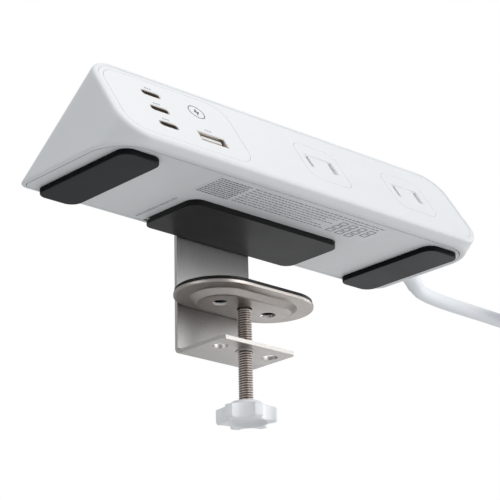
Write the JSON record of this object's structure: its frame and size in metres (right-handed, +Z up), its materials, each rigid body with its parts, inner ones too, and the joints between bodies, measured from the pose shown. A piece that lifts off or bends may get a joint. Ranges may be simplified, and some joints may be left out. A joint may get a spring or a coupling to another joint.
{
  "type": "desk power strip",
  "caption": "Desk-edge power strip with mains and USB outlets on a sloped face, a mains cord with plug, and a screw clamp beneath that grips a table edge.",
  "frame": {"origin": "on the clamp screw's axis, in the lower face of the upper clamp pad, which is the plane of the desk top", "axes": "+X along the strip towards the end where the cord leaves, +Y from the outlet face to the back of the strip, +Z up"},
  "size_m": [0.3556, 0.1105, 0.122],
  "materials": {
    "housing_white": "fine satin moulded",
    "panel_white": "satin moulded",
    "inner_white": "moulded",
    "contact_brass": "plated brass strip",
    "circuit_board": "solder mask",
    "transformer_tape": "tape over ferrite",
    "capacitor_sleeve": "shrink sleeve",
    "screw_steel": "zinc plated",
    "port_steel": "pressed shell",
    "port_black": "moulded",
    "lead_insulation": "pvc",
    "cord_white": "pvc sheath",
    "strap_black": "woven hook and loop",
    "foot_rubber": "matte",
    "label_film": "film",
    "bracket_steel": "satin nickel",
    "pad_rubber": "matte",
    "thread_steel": "oiled",
    "knob_white": "moulded"
  },
  "bodies": {
    "strip": {"upper_housing": "housing_white", "bottom_cover": "housing_white", "face_panel": "panel_white", "usb_panel": "panel_white", "outlet_face_left": "panel_white", "outlet_face_right": "panel_white", "live_busbar": "contact_brass", "neutral_busbar": "contact_brass", "contact_holder": "inner_white", "usb_board": "circuit_board", "charger_board": "circuit_board", "transformer": "transformer_tape", "capacitors": "capacitor_sleeve", "board_screws": "screw_steel", "usb_c_receptacles": "port_steel", "usb_c_tongues": "port_black", "usb_a_receptacle": "port_steel", "usb_a_tongue": "inner_white", "internal_leads": "lead_insulation", "cord_clamp": "inner_white", "cord_clamp_screws": "screw_steel", "strain_relief": "cord_white", "power_cord": "cord_white", "cord_coil": "cord_white", "cord_tie": "strap_black", "plug_body": "cord_white", "plug_blades": "contact_brass", "foot_left": "foot_rubber", "foot_right": "foot_rubber", "rating_label": "label_film", "housing_screws": "screw_steel", "clamp_bracket": "bracket_steel", "bracket_screws": "screw_steel", "bracket_pad": "pad_rubber"},
    "pressure_foot": {"pressure_plate": "bracket_steel", "pressure_pad": "pad_rubber"},
    "screw": {"clamp_screw": "thread_steel", "clamp_knob": "knob_white", "retaining_washer": "screw_steel"},
    "shutter_left": {"shutter_left": "inner_white"},
    "shutter_right": {"shutter_right": "inner_white"}
  },
  "joints": [
    {"name": "plate_lift", "type": "slide", "parent": "strip", "child": "pressure_foot", "axis": [0, 0, 1], "range_m": [-0.0155, 0.0163]},
    {"name": "knob_turn", "type": "hinge", "parent": "pressure_foot", "child": "screw", "pos_m": [0, 0, -0.05], "axis": [0, 0, 1], "range_deg": [-5581, 5869]},
    {"name": "left_shutter_slide", "type": "slide", "parent": "strip", "child": "shutter_left", "axis": [1, 0, 0], "range_m": [0, 0.0032], "stiffness_N_per_m": 60, "springref_m": -0.002},
    {"name": "right_shutter_slide", "type": "slide", "parent": "strip", "child": "shutter_right", "axis": [1, 0, 0], "range_m": [0, 0.0032], "stiffness_N_per_m": 60, "springref_m": -0.002}
  ],
  "couplings": [
    {"joint": "knob_turn", "follows": "plate_lift", "rad_per_m": 6283.2}
  ]
}
